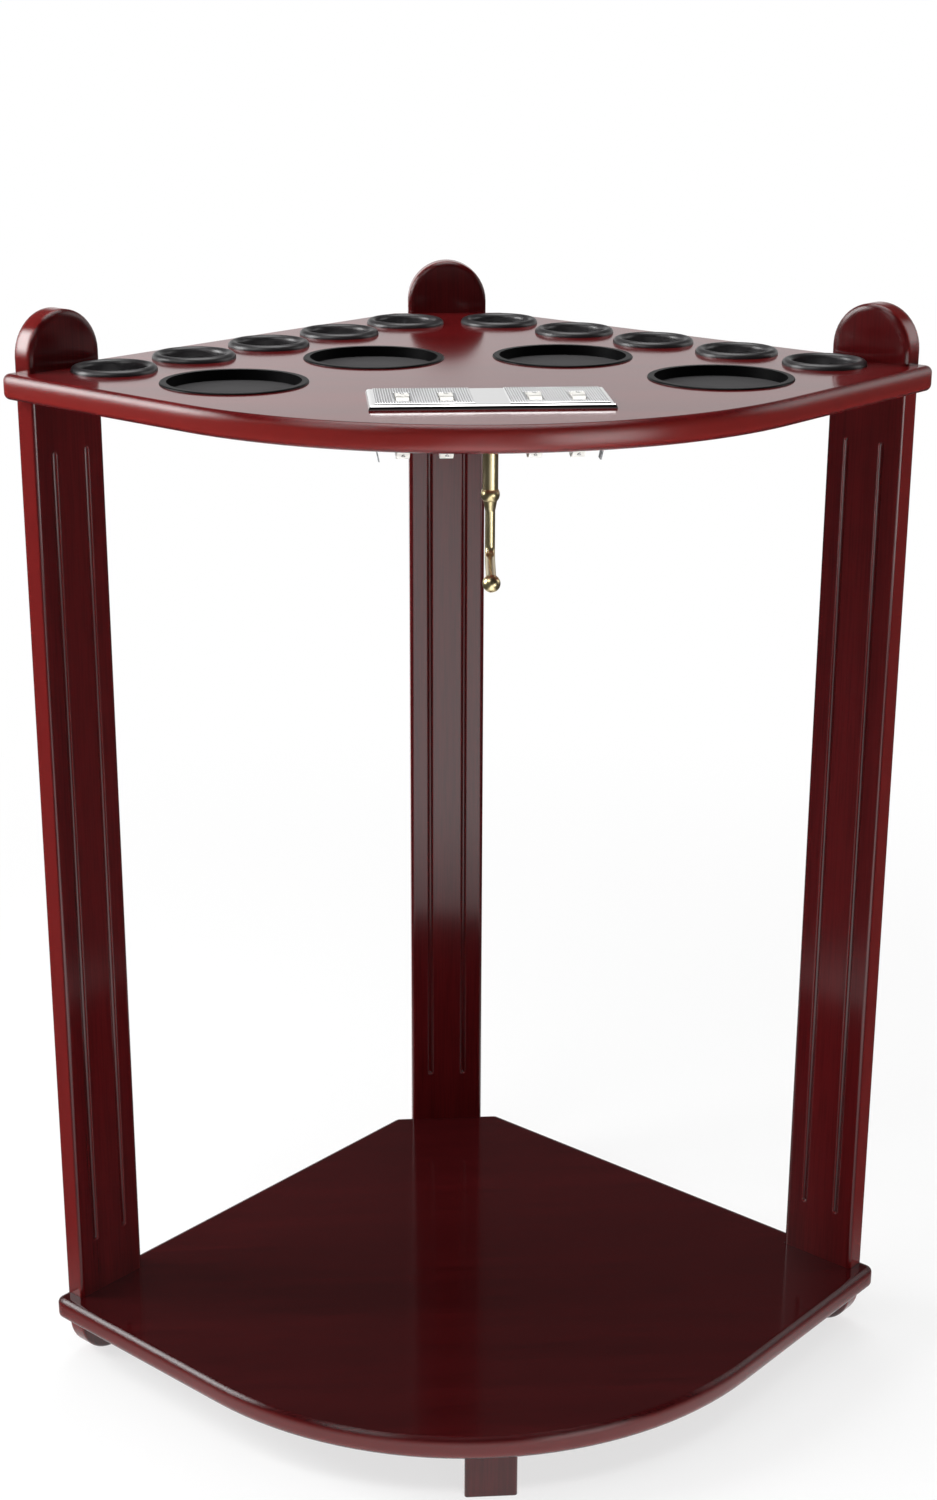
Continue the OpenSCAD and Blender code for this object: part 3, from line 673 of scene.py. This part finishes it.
@dataclass
class ScoreCounter:
    """Chrome plate with ribbed fields, steel works and the four number wheels."""

    # Ribs of one field, outwards from the plate's middle.
    first_rib_mm: float = 10.6
    last_rib_mm: float = 61.4
    rib_half_mm: float = 22.2
    rib_pitch_mm: float = 1.4
    rib_w_mm: float = 0.85
    rib_h_mm: float = 0.3
    rib_round_mm: float = 0.255
    rib_segments: int = 2
    # Slots of the wheels, which the ribs stop short of.
    slot_half_mm: float = 4.1
    slot_l_mm: float = 23.2
    slot_margin_mm: float = 0.4
    # Printed numbers, thicker than real ink so that they show.
    digit_h_mm: float = 5.0
    digit_t_mm: float = 0.06
    digit_sunk_mm: float = 0.02
    digit_step_mm: float = 0.5
    digit_segments: int = 4
    digits: int = 10
    works: list[str] = field(default_factory=lambda: [
        "left_counter_frame", "right_counter_frame", "left_axle", "right_axle", "axle_retainers",
        "friction_washers", "left_clip", "right_clip", "push_nuts"])

    def dress(self) -> None:
        """Dress the plate, the works and the wheels, and add the ribs and the numbers."""
        chrome = CHROME.material()
        dress(["counter_plate"], EtchedChrome(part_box("counter_plate")[1].z).material())
        dress(self.works, ZINC.material())
        joints = [j for j in frame["joints"] if j["child"].startswith("score_wheel")]
        dress([j["child"] for j in joints], WHITE_ABS.material())
        for side, word in ((-1, "left"), (1, "right")):
            self.add_ribs(side, f"{word}_plate_ribs", joints, chrome)
        ink = PRINT_INK.material()
        shapes = [self.digit_mesh(str(k)) for k in range(self.digits)]
        for number, joint in enumerate(joints, 1):
            self.add_digits(f"wheel_numbers_{number}", joint, shapes, ink)

    def add_ribs(self, side: int, name: str, joints: list[dict], chrome: Material) -> None:
        """Add the fine ribs of one half of the plate, broken at the wheel slots.

        Args:
            side: -1 for the left half, 1 for the right.
            name: Name of the piece.
            joints: Wheel joints, which give the slots' places.
            chrome: Plate material.
        """
        low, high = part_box("counter_plate")
        count = int((self.last_rib_mm - self.first_rib_mm) / self.rib_pitch_mm)
        front = (low.y + high.y) / 2 - self.rib_half_mm * MM
        back = (low.y + high.y) / 2 + self.rib_half_mm * MM
        slot_xs = [j["pos_m"][0] for j in joints]
        slot_y = joints[0]["pos_m"][1]
        half_slot = (self.slot_l_mm / 2 + self.slot_margin_mm) * MM
        reach = (self.slot_half_mm + self.slot_margin_mm + self.rib_w_mm / 2) * MM
        bm = bmesh.new()
        for k in range(count + 1):
            x = side * (self.first_rib_mm + k * self.rib_pitch_mm) * MM
            if any(abs(x - s) < reach for s in slot_xs):
                spans = [(front, slot_y - half_slot), (slot_y + half_slot, back)]
            else:
                spans = [(front, back)]
            for y0, y1 in spans:
                self.add_rib(bm, x, y0, y1, high.z)
        add_piece(name, bm, chrome, RACK)

    def add_rib(self, bm: BMesh, x: float, y0: float, y1: float, z: float) -> None:
        """Add one rounded rib that stands on the plate.

        Args:
            bm: Mesh that gets the rib.
            x: Middle of the rib.
            y0: Front end.
            y1: Back end.
            z: Top of the plate.
        """
        size = (self.rib_w_mm * MM, y1 - y0, self.rib_h_mm * MM, 1)
        half_up = z + size[2] / 2
        place = Matrix.Translation((x, (y0 + y1) / 2, half_up)) @ Matrix.Diagonal(size)
        made = bmesh.ops.create_cube(bm, size=1, matrix=place)
        edges = {e for v in made["verts"] for e in v.link_edges}
        top = [e for e in edges if all(v.co.z > half_up for v in e.verts)]
        bmesh.ops.bevel(
            bm, geom=top, offset=self.rib_round_mm * MM, offset_type="OFFSET", affect="EDGES",
            segments=self.rib_segments, profile=0.5, material=-1)

    def digit_mesh(self, text: str) -> bpy.types.Mesh:
        """Make one flat digit, cut into strips so that it can bend.

        Args:
            text: The digit.

        Returns:
            A closed slab with the digit's outline, centred, in metres.
        """
        curve = bpy.data.curves.new(f"digit_{text}", "FONT")
        curve.body = text
        curve.size = self.digit_h_mm * MM
        curve.align_x = "CENTER"
        curve.resolution_u = self.digit_segments
        holder = bpy.data.objects.new(f"digit_{text}", curve)
        bpy.context.scene.collection.objects.link(holder)
        depsgraph = bpy.context.evaluated_depsgraph_get()
        flat = bpy.data.meshes.new_from_object(holder.evaluated_get(depsgraph))
        bpy.data.objects.remove(holder)
        bm = bmesh.new()
        bm.from_mesh(flat)
        bmesh.ops.remove_doubles(bm, verts=bm.verts, dist=MERGE)
        ys = [v.co.y for v in bm.verts]
        bmesh.ops.translate(bm, verts=bm.verts, vec=(0, -(min(ys) + max(ys)) / 2, 0))
        step = self.digit_step_mm * MM
        cuts = math.ceil((max(ys) - min(ys)) / step)
        for k in range(-cuts, cuts + 1):
            geom = bm.verts[:] + bm.edges[:] + bm.faces[:]
            bmesh.ops.bisect_plane(bm, geom=geom, plane_co=(0, k * step, 0), plane_no=(0, 1, 0))
        lid = bmesh.ops.extrude_face_region(bm, geom=bm.faces[:], use_keep_orig=True)
        raised = [v for v in lid["geom"] if isinstance(v, bmesh.types.BMVert)]
        bmesh.ops.translate(bm, verts=raised, vec=(0, 0, self.digit_t_mm * MM))
        bmesh.ops.recalc_face_normals(bm, faces=bm.faces)
        bm.to_mesh(flat)
        bm.free()
        return flat

    def add_digits(
            self, name: str, joint: dict, shapes: list[bpy.types.Mesh], ink: Material) -> None:
        """Wrap the numbers round one wheel, with 0 at the crest.

        Args:
            name: Name of the piece.
            joint: Joint of the wheel.
            shapes: The flat digits in order.
            ink: Print material.
        """
        low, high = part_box(joint["child"])
        radius = (high.z - low.z) / 2 - self.digit_sunk_mm * MM
        centre = Vector(joint["pos_m"])
        bm = bmesh.new()
        for k, shape in enumerate(shapes):
            before = len(bm.verts)
            bm.from_mesh(shape)
            bm.verts.ensure_lookup_table()
            turn = k * math.tau / self.digits
            for v in bm.verts[before:]:
                angle = v.co.y / radius + turn
                out = radius + v.co.z
                v.co = centre + Vector((v.co.x, out * math.sin(angle), out * math.cos(angle)))
        bmesh.ops.recalc_face_normals(bm, faces=bm.faces)
        add_piece(name, bm, ink, joint["child"])


@dataclass
class RackHook:
    """Brass hook under the upper shelf."""

    node: str = "ball_rack_hook"

    def dress(self) -> None:
        """Polish the hook."""
        dress([self.node], BRASS.material())


def shiny_rays(tree: NodeTree) -> Socket:
    """Tell rays that come off metal, lacquer or glass.

    Args:
        tree: Node tree that gets the nodes.

    Returns:
        A socket that is 1 for glossy and transmission rays.
    """
    path = add_node(tree, "ShaderNodeLightPath").outputs
    return add_node(tree, "ShaderNodeMath", {
        0: path["Is Glossy Ray"], 1: path["Is Transmission Ray"]}, operation="MAXIMUM").outputs[0]


@dataclass(frozen=True)
class Lamp:
    """Area lamp that fades towards its edge, so that lacquer and metal show no hard outline of it.

    An aimed lamp points at the middle of the rack, and any other straight down.
    """

    name: str
    place: Point
    size_m: Pair
    watts: float
    aimed: bool = True
    mirrored: bool = True
    spread_deg: float = 180.0
    # Middle of the lamp's face and the reach of its fade, in parts of its sides.
    middle: Point = (0.5, 0.5, 0.0)
    fade: Pair = (0.25, 0.5)

    def hang(self) -> None:
        """Hang the lamp and give it its light."""
        light = bpy.data.lights.new(self.name, "AREA")
        light.shape = "RECTANGLE"
        light.size, light.size_y = self.size_m
        light.energy = self.watts
        light.spread = math.radians(self.spread_deg)
        light.use_nodes = True
        tree = light.node_tree
        tree.nodes.clear()
        spot = add_node(tree, "ShaderNodeNewGeometry").outputs["Parametric"]
        off = add_node(tree, "ShaderNodeVectorMath", {0: spot, 1: self.middle}, operation="DISTANCE")
        core, rim = self.fade
        soft = add_node(tree, "ShaderNodeMapRange", {
            "Value": off.outputs["Value"], "From Min": core, "From Max": rim,
            "To Min": 1.0, "To Max": 0.0}, interpolation_type="SMOOTHSTEP")
        glow = add_node(tree, "ShaderNodeEmission", {"Strength": soft.outputs["Result"]})
        add_node(tree, "ShaderNodeOutputLight", {"Surface": glow.outputs["Emission"]})
        lamp = bpy.data.objects.new(self.name, light)
        bpy.context.scene.collection.objects.link(lamp)
        lamp.location = self.place
        if self.aimed:
            target = (CAD_BOX[0] + CAD_BOX[1]) / 2
            lamp.rotation_euler = (target - Vector(self.place)).to_track_quat("-Z", "Y").to_euler()
        lamp.visible_camera = False
        lamp.visible_glossy = self.mirrored


@dataclass
class Studio:
    """White room: floor, backdrop and soft lamps."""

    floor_half_m: float = 6.0
    paper: str = "#f4f4f4"
    # Share of pure white in the floor that the camera sees, from under the rack to the backdrop.
    floor_fade_m: Pair = (0.3, 1.3)
    near_glow: float = 0.7
    # Bright strip of floor in front that the lacquer mirrors: half width, near end and far end.
    sweep_glow: float = 2.4
    sweep_near_glow: float = 1.2
    sweep_half_m: Pair = (0.15, 0.45)
    sweep_near_m: Pair = (-0.65, -0.25)
    sweep_far_m: Pair = (-3.6, -2.4)
    aside_dim: float = 0.06
    # World: plain light on the object, and the backdrop, front and ceiling that it mirrors.
    ambient: float = 0.15
    backdrop: float = 0.75
    front_dim: float = 0.05
    front_to_back: Pair = (-0.1, 0.75)
    ceiling_dim: float = 0.08
    wall_to_ceiling: Pair = (0.19, 0.42)
    left_lift: float = 1.4
    left_to_middle: Pair = (-0.3, 0.1)
    lamps: tuple[Lamp, ...] = (
        Lamp("key_lamp", (-0.75, -0.74, 1.5), (0.8, 0.8), 8.0),
        Lamp("left_lamp", (-1.55, 0.1, 1.15), (1.2, 1.3), 60.0),
        Lamp("right_lamp", (1.55, 0.25, 1.15), (1.2, 1.3), 9.0),
        Lamp("low_lamp", (0.85, -1.45, 0.32), (1.2, 0.6), 13.0),
        Lamp("top_lamp", (0.0, 0.3, 2.0), (1.5, 1.5), 34.0),
        Lamp("sweep_lamp", (0.0, -1.5, 2.2), (1.6, 1.2), 42.0,
             aimed=False, mirrored=False, spread_deg=70.0),
        Lamp("back_lamp", (0.3, 2.6, 1.9), (2.4, 2.4), 30.0, mirrored=False))

    def build(self) -> None:
        """Make the floor, the world and the lamps."""
        self.add_floor()
        self.light_world()
        for lamp in self.lamps:
            lamp.hang()

    def add_floor(self) -> None:
        """Lay a pale floor that shows white, fades into the backdrop and keeps the shadow."""
        bm = bmesh.new()
        bmesh.ops.create_grid(bm, x_segments=1, y_segments=1, size=self.floor_half_m)
        mesh = bpy.data.meshes.new("studio_floor")
        bm.to_mesh(mesh)
        bm.free()
        mesh.materials.append(self.floor_material())
        floor = bpy.data.objects.new("studio_floor", mesh)
        bpy.context.scene.collection.objects.link(floor)

    def floor_material(self) -> Material:
        """Build the floor's paper, which glows for the camera and for shiny surfaces.

        Returns:
            The floor's material.
        """
        material = bpy.data.materials.new("white_paper_floor")
        material.use_nodes = True
        tree = material.node_tree
        tree.nodes.clear()
        coords = add_node(tree, "ShaderNodeTexCoord").outputs["Object"]
        camera = add_node(tree, "ShaderNodeLightPath").outputs["Is Camera Ray"]
        paper = add_node(tree, "ShaderNodeBsdfDiffuse", {"Color": linear(self.paper)})
        level = add_node(tree, "ShaderNodeMix", {
            SHARE: camera, NUMBER_A: self.add_sweep(tree, coords), NUMBER_B: 1.0}, data_type="FLOAT")
        glow = add_node(tree, "ShaderNodeEmission", {
            "Color": WHITE, "Strength": level.outputs[NUMBER_OUT]})
        away = add_node(tree, "ShaderNodeVectorMath", {0: coords}, operation="LENGTH")
        near, far = self.floor_fade_m
        fade = add_node(tree, "ShaderNodeMapRange", {
            "Value": away.outputs["Value"], "From Min": near, "From Max": far,
            "To Min": self.near_glow, "To Max": 1.0}, interpolation_type="SMOOTHSTEP")
        seen = add_node(
            tree, "ShaderNodeMath", {0: camera, 1: fade.outputs["Result"]}, operation="MULTIPLY")
        share = add_node(
            tree, "ShaderNodeMath", {0: seen.outputs[0], 1: shiny_rays(tree)}, operation="MAXIMUM")
        both = add_node(tree, "ShaderNodeMixShader", {
            0: share.outputs[0], 1: paper.outputs["BSDF"], 2: glow.outputs["Emission"]})
        add_node(tree, "ShaderNodeOutputMaterial", {"Surface": both.outputs["Shader"]})
        return material

    def add_sweep(self, tree: NodeTree, coords: Socket) -> Socket:
        """Add the bright strip of floor that shiny surfaces mirror.

        Args:
            tree: Node tree that gets the nodes.
            coords: Object coordinates of the floor.

        Returns:
            The strip's level, which fades at both ends and to both sides.
        """
        spot = add_node(tree, "ShaderNodeSeparateXYZ", {"Vector": coords}).outputs
        aside = add_node(tree, "ShaderNodeMath", {0: spot["X"]}, operation="ABSOLUTE")
        start, end = self.sweep_near_m
        near = add_node(tree, "ShaderNodeMapRange", {
            "Value": spot["Y"], "From Min": start, "From Max": end,
            "To Min": self.sweep_glow, "To Max": self.sweep_near_glow}, interpolation_type="SMOOTHSTEP")
        start, end = self.sweep_far_m
        along = add_node(tree, "ShaderNodeMapRange", {
            "Value": spot["Y"], "From Min": start, "From Max": end,
            "To Min": self.aside_dim, "To Max": near.outputs["Result"]}, interpolation_type="SMOOTHSTEP")
        start, end = self.sweep_half_m
        sweep = add_node(tree, "ShaderNodeMapRange", {
            "Value": aside.outputs[0], "From Min": start, "From Max": end,
            "To Min": along.outputs["Result"], "To Max": self.aside_dim}, interpolation_type="SMOOTHSTEP")
        return sweep.outputs["Result"]

    def light_world(self) -> None:
        """Give the world a white that is seen, a backdrop that is mirrored and a plain light."""
        world = bpy.data.worlds.new("white_room")
        bpy.context.scene.world = world
        world.use_nodes = True
        tree = world.node_tree
        tree.nodes.clear()
        towards = add_node(tree, "ShaderNodeTexCoord").outputs["Generated"]
        parts = add_node(tree, "ShaderNodeSeparateXYZ", {"Vector": towards}).outputs
        start, end = self.front_to_back
        behind = add_node(tree, "ShaderNodeMapRange", {
            "Value": parts["Y"], "From Min": start, "From Max": end,
            "To Min": self.front_dim, "To Max": self.backdrop}, interpolation_type="SMOOTHSTEP")
        start, end = self.wall_to_ceiling
        low = add_node(tree, "ShaderNodeMapRange", {
            "Value": parts["Z"], "From Min": start, "From Max": end,
            "To Min": 1.0, "To Max": self.ceiling_dim}, interpolation_type="SMOOTHSTEP")
        start, end = self.left_to_middle
        lifted = add_node(tree, "ShaderNodeMapRange", {
            "Value": parts["X"], "From Min": start, "From Max": end,
            "To Min": self.left_lift, "To Max": 1.0})
        paper = add_node(tree, "ShaderNodeMath", {
            0: behind.outputs["Result"], 1: lifted.outputs["Result"]}, operation="MULTIPLY")
        mirrored = add_node(tree, "ShaderNodeMath", {
            0: paper.outputs[0], 1: low.outputs["Result"]}, operation="MULTIPLY")
        unseen = add_node(tree, "ShaderNodeMix", {
            SHARE: shiny_rays(tree), NUMBER_A: self.ambient, NUMBER_B: mirrored.outputs[0]},
            data_type="FLOAT")
        camera = add_node(tree, "ShaderNodeLightPath").outputs["Is Camera Ray"]
        level = add_node(tree, "ShaderNodeMix", {
            SHARE: camera, NUMBER_A: unseen.outputs[NUMBER_OUT], NUMBER_B: 1.0}, data_type="FLOAT")
        room = add_node(tree, "ShaderNodeBackground", {
            "Color": WHITE, "Strength": level.outputs[NUMBER_OUT]})
        add_node(tree, "ShaderNodeOutputWorld", {"Surface": room.outputs["Background"]})


@dataclass
class PhotoCamera:
    """Camera fitted to the photograph."""

    place: Point = (-0.1072, -1.3825, 0.8733)
    lens_mm: float = 55.96
    sensor_mm: float = 36.0
    turn_deg: float = 4.443
    tilt_deg: float = 18.613
    roll_deg: float = 0.226
    level_deg: float = 90.0

    def build(self) -> None:
        """Make the camera and look through it."""
        data = bpy.data.cameras.new("photo_camera")
        data.lens = self.lens_mm
        data.sensor_width = self.sensor_mm
        camera = bpy.data.objects.new("photo_camera", data)
        bpy.context.scene.collection.objects.link(camera)
        turn = Matrix.Rotation(math.radians(-self.turn_deg), 4, "Z")
        tilt = Matrix.Rotation(math.radians(self.level_deg - self.tilt_deg), 4, "X")
        roll = Matrix.Rotation(math.radians(self.roll_deg), 4, "Z")
        camera.matrix_world = Matrix.Translation(self.place) @ turn @ tilt @ roll
        bpy.context.scene.camera = camera


def main() -> None:
    """Build the camera, the pieces and the studio in order."""
    logging.basicConfig(level=logging.INFO, format="%(message)s")
    bpy.context.scene.view_settings.view_transform = "Standard"
    PhotoCamera().build()
    for assembly in (Carcass(), TableTop(), ScoreCounter(), RackHook()):
        assembly.dress()
    Studio().build()


if __name__ == "__main__":
    main()
